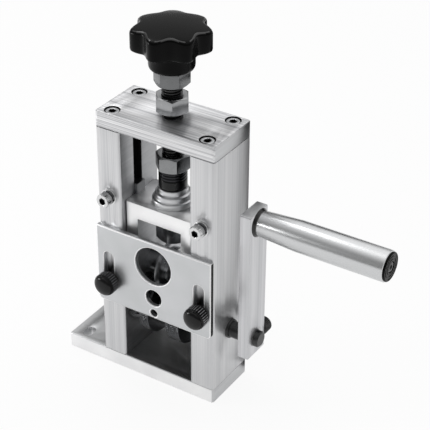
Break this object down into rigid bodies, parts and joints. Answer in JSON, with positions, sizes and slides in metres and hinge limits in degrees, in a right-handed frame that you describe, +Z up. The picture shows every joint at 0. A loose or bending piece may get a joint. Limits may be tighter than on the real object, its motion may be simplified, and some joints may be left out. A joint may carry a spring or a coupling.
{
  "type": "hand crank wire stripper",
  "caption": "Bench wire stripper: a crank turns a drive roller under a cutting disc, a knob screw presses the disc down, and a slotted plate guides the wire.",
  "frame": {"origin": "midway between the uprights, on the underside of the base plate", "axes": "+X along the drive shaft towards the crank, +Y to the back, +Z up along the pressure screw"},
  "size_m": [0.2068, 0.0543, 0.233],
  "materials": {
    "machined_aluminium": "brushed",
    "polished_aluminium": "polished",
    "plated_screw": "bright plated",
    "steel_nut": "plain turned",
    "black_screw": "black oxide",
    "black_rod": "black oxide",
    "turned_steel": "turned",
    "dark_steel": "hardened dark",
    "bearing_steel": "ground",
    "blade_steel": "ground",
    "bronze": "plain",
    "black_knob": "moulded",
    "black_rubber": "moulded"
  },
  "bodies": {
    "frame": {"base_plate": "machined_aluminium", "left_upright": "machined_aluminium", "right_upright": "machined_aluminium", "top_plate": "machined_aluminium", "top_plate_screws": "plated_screw", "base_screws": "plated_screw", "front_cap_screws": "plated_screw", "front_spring_washers": "plated_screw", "front_flat_washers": "plated_screw", "bearing_outer_rings": "bearing_steel", "outer_bush": "dark_steel"},
    "guide": {"guide_plate": "machined_aluminium"},
    "left_thumb": {"left_thumb_screw": "black_screw", "left_thumb_washer": "black_screw"},
    "right_thumb": {"right_thumb_screw": "black_screw", "right_thumb_washer": "black_screw"},
    "carriage": {"sliding_block": "machined_aluminium", "left_key": "dark_steel", "right_key": "dark_steel", "key_screws": "plated_screw", "disc_axle": "turned_steel", "axle_rings": "turned_steel", "left_spacer": "turned_steel", "right_spacer": "turned_steel", "flanged_bush": "turned_steel"},
    "disc": {"cutting_disc": "blade_steel", "disc_hub": "turned_steel", "hub_bush": "bronze"},
    "screw": {"pressure_screw": "black_rod", "star_knob": "black_knob", "jam_nut": "steel_nut", "lock_nut": "steel_nut", "lower_nut": "steel_nut", "foot_nut": "steel_nut", "stack_ring": "black_rubber", "stack_washers": "plated_screw"},
    "crank": {"drive_shaft": "dark_steel", "roller_key": "dark_steel", "drive_roller": "dark_steel", "left_wheel": "dark_steel", "right_wheel": "dark_steel", "wheel_grub_screw": "black_screw", "shaft_spacers": "turned_steel", "bearing_inner_rings": "bearing_steel", "crank_arm": "machined_aluminium", "arm_clamp_screw": "black_screw", "handle_spindle": "turned_steel", "handle_washer": "black_screw", "end_cap_screw": "plated_screw"},
    "grip": {"grip_tube": "polished_aluminium", "grip_bushes": "bronze", "end_cap": "black_knob"}
  },
  "joints": [
    {"name": "crank_turn", "type": "hinge", "parent": "frame", "child": "crank", "pos_m": [0, 0, 0.0446], "axis": [1, 0, 0], "continuous": true},
    {"name": "grip_turn", "type": "hinge", "parent": "crank", "child": "grip", "pos_m": [0.1, 0, 0.125], "axis": [1, 0, 0], "continuous": true},
    {"name": "carriage_slide", "type": "slide", "parent": "frame", "child": "carriage", "axis": [0, 0, 1], "range_m": [-0.0034, 0.013]},
    {"name": "knob_turn", "type": "hinge", "parent": "carriage", "child": "screw", "pos_m": [0, 0, 0.2], "axis": [0, 0, 1], "range_deg": [-700, 2675]},
    {"name": "disc_turn", "type": "hinge", "parent": "carriage", "child": "disc", "pos_m": [0, 0, 0.0755], "axis": [1, 0, 0], "continuous": true},
    {"name": "guide_slide", "type": "slide", "parent": "frame", "child": "guide", "axis": [0, 0, 1], "range_m": [-0.016, 0.0018]},
    {"name": "left_thumb_turn", "type": "hinge", "parent": "frame", "child": "left_thumb", "pos_m": [-0.03095, -0.025, 0.0654], "axis": [0, 1, 0], "range_deg": [0, 720]},
    {"name": "right_thumb_turn", "type": "hinge", "parent": "frame", "child": "right_thumb", "pos_m": [0.03255, -0.025, 0.0654], "axis": [0, 1, 0], "range_deg": [0, 720]}
  ],
  "couplings": [
    {"joint": "knob_turn", "follows": "carriage_slide", "rad_per_m": 3590.4}
  ]
}
